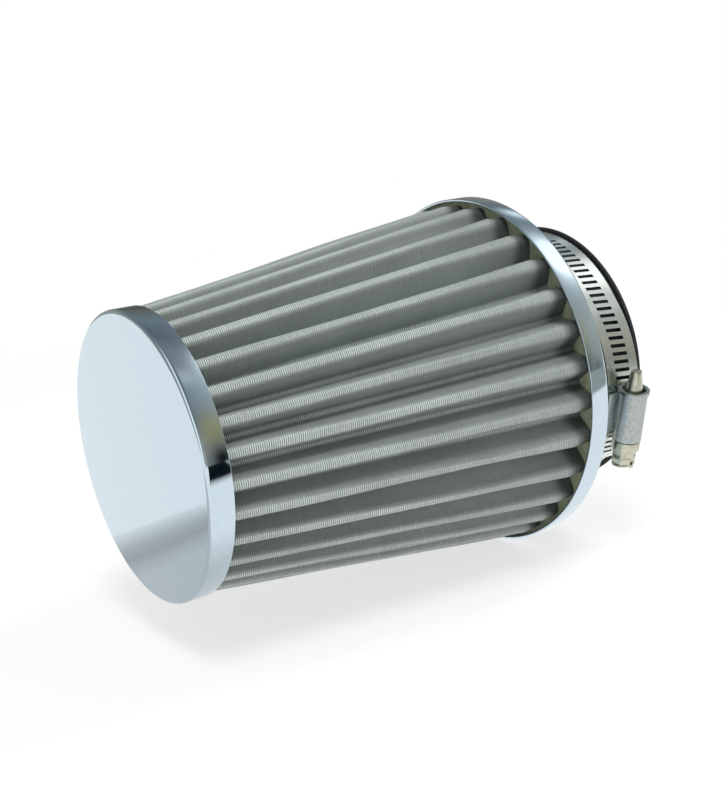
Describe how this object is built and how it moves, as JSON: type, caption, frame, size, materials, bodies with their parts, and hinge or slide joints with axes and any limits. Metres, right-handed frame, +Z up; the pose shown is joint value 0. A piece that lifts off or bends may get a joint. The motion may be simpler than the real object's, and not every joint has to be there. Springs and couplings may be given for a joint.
{
  "type": "cone air filter",
  "caption": "Cone-shaped engine intake air filter: pleated wire-mesh cone between a closed chromed end cap and a chromed base ring, with a rubber neck and a worm-drive hose clamp.",
  "frame": {"origin": "centre of the neck's mouth", "axes": "+X along the filter's axis, out of the neck; +Z up"},
  "size_m": [0.163, 0.12, 0.12],
  "materials": {
    "chrome": "polished",
    "wire_mesh": "woven wire cloth",
    "resin": "cast resin",
    "rubber": "moulded rubber",
    "band_steel": "rolled strip",
    "zinc": "satin zinc plate",
    "yellow_zinc": "pale passivated zinc"
  },
  "bodies": {
    "filter": {"end_cap": "chrome", "cap_potting": "resin", "pleated_mesh": "wire_mesh", "base_ring": "chrome", "base_potting": "resin", "neck": "rubber", "clamp_band": "band_steel", "clamp_saddle": "zinc", "clamp_housing": "zinc"},
    "screw": {"clamp_screw": "yellow_zinc"}
  },
  "joints": [
    {"name": "screw_turn", "type": "hinge", "parent": "filter", "child": "screw", "pos_m": [-0.0092, -0.04902, -0.01295], "axis": [0, -0.2554, 0.9668], "continuous": true}
  ]
}
